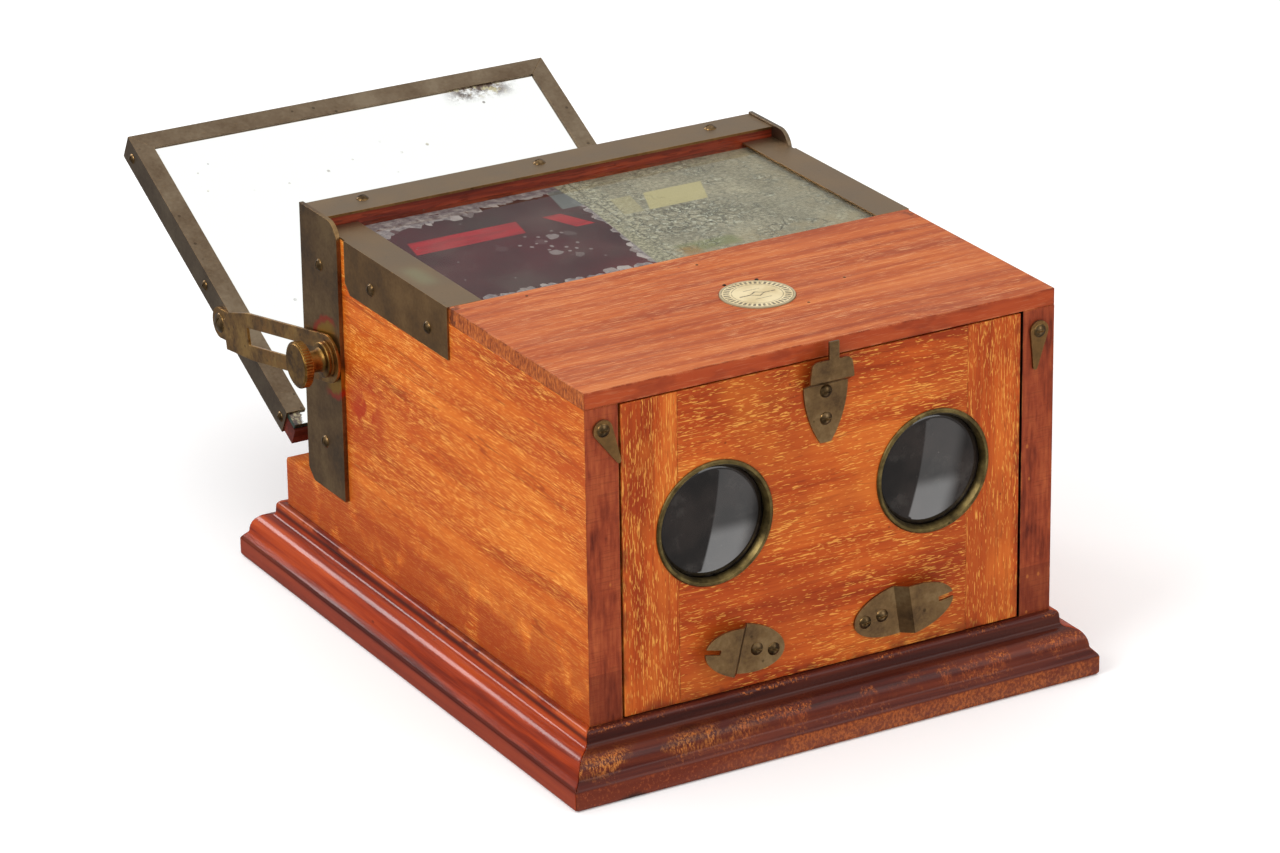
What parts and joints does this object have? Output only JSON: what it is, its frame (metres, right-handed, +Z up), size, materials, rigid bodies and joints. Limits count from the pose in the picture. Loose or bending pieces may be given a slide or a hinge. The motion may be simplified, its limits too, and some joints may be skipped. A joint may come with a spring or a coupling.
{
  "type": "stereo viewer",
  "caption": "Wooden table stereo viewer: twin lenses in a sliding front, filter windows on top and behind, and a hinged mirror held open by a slotted brass stay.",
  "frame": {"origin": "centre of the base underside", "axes": "+Z up, lenses face -Y, +X to the right of a person looking into the lenses"},
  "size_m": [0.2314, 0.4067, 0.161],
  "materials": {
    "base_wood": "worn polish",
    "side_wood": "polished",
    "dark_wood": "polished",
    "lid_wood": "faded polish",
    "rail_wood": "polished",
    "panel_wood": "worn polish",
    "blackened_wood": "matt black",
    "lens_brass": "satin",
    "lens_glass": "polished",
    "clear_glass": "polished",
    "ground_glass": "ground",
    "reflector_glass": "polished",
    "red_filter": "gelatine sheet",
    "green_filter": "gelatine sheet",
    "fitting_brass": "dark lacquered satin",
    "screw_brass": "dark",
    "ivory": "aged ivory-like",
    "mirror_glass": "silvered, worn at the edges"
  },
  "bodies": {
    "case": {"base_board": "base_wood", "base_moulding_front": "base_wood", "base_moulding_back": "base_wood", "base_moulding_left": "base_wood", "base_moulding_right": "base_wood", "side_panel_left": "side_wood", "side_panel_right": "side_wood", "rear_sill": "dark_wood", "lid": "lid_wood", "window_cross_bar": "dark_wood", "rear_top_rail": "rail_wood", "side_strip_left": "fitting_brass", "side_strip_right": "fitting_brass", "top_strip": "fitting_brass", "angle_bracket_left": "fitting_brass", "angle_bracket_right": "fitting_brass", "case_screws": "screw_brass", "top_glass_upper": "clear_glass", "top_glass_lower": "clear_glass", "top_red_filter": "red_filter", "top_green_filter": "green_filter", "rear_glass_inner": "clear_glass", "rear_glass_outer": "ground_glass", "rear_red_filter": "red_filter", "rear_green_filter": "green_filter", "rear_glass_beads": "dark_wood", "reflector_glass": "reflector_glass", "reflector_rails": "blackened_wood", "septum": "blackened_wood", "badge": "ivory", "hinge_fixed_leaves": "fitting_brass", "hinge_pins": "fitting_brass", "stay_boss": "fitting_brass"},
    "front_panel": {"lens_panel": "panel_wood", "panel_cleats": "panel_wood", "focus_runners": "dark_wood", "lens_ring_left": "lens_brass", "lens_ring_right": "lens_brass", "lens_left": "lens_glass", "lens_right": "lens_glass", "lens_retaining_rings": "lens_brass", "top_catch": "fitting_brass", "clip_left": "fitting_brass", "clip_right": "fitting_brass", "panel_screws": "screw_brass"},
    "turn_button_left": {"turn_button_left": "fitting_brass"},
    "turn_button_right": {"turn_button_right": "fitting_brass"},
    "mirror": {"mirror_board": "dark_wood", "mirror_glass": "mirror_glass", "mirror_channel_left": "fitting_brass", "mirror_channel_right": "fitting_brass", "mirror_channel_top": "fitting_brass", "mirror_screws": "screw_brass", "hinge_moving_leaves": "fitting_brass", "stay_pivot_screw": "screw_brass"},
    "stay": {"stay": "fitting_brass"},
    "clamp_washer": {"clamp_washer": "fitting_brass"},
    "thumb_screw": {"thumb_screw": "fitting_brass"}
  },
  "joints": [
    {"name": "mirror_hinge", "type": "hinge", "parent": "case", "child": "mirror", "pos_m": [0, 0.1227, 0.0473], "axis": [1, 0, 0], "range_deg": [0, 62]},
    {"name": "stay_pivot", "type": "hinge", "parent": "mirror", "child": "stay", "pos_m": [-0.098, 0.18042, 0.08252], "axis": [1, 0, 0], "range_deg": [-36, 0]},
    {"name": "thumb_screw_travel", "type": "slide", "parent": "case", "child": "clamp_washer", "axis": [-1, 0, 0], "range_m": [0, 0.0014]},
    {"name": "thumb_screw_turn", "type": "hinge", "parent": "clamp_washer", "child": "thumb_screw", "pos_m": [-0.11, 0.0733, 0.1038], "axis": [-1, 0, 0], "range_deg": [0, 720]},
    {"name": "front_panel_slide", "type": "slide", "parent": "case", "child": "front_panel", "axis": [0, -1, 0], "range_m": [0, 0.03]},
    {"name": "turn_button_left_pivot", "type": "hinge", "parent": "case", "child": "turn_button_left", "pos_m": [-0.0929, -0.1237, 0.1401], "axis": [0, -1, 0], "range_deg": [-232, 0]},
    {"name": "turn_button_right_pivot", "type": "hinge", "parent": "case", "child": "turn_button_right", "pos_m": [0.0929, -0.1237, 0.1401], "axis": [0, -1, 0], "range_deg": [-20, 213]}
  ],
  "couplings": [
    {"joint": "stay_pivot", "follows": "mirror_hinge", "ratio": -0.5805},
    {"joint": "thumb_screw_turn", "follows": "thumb_screw_travel", "rad_per_m": 8976}
  ]
}
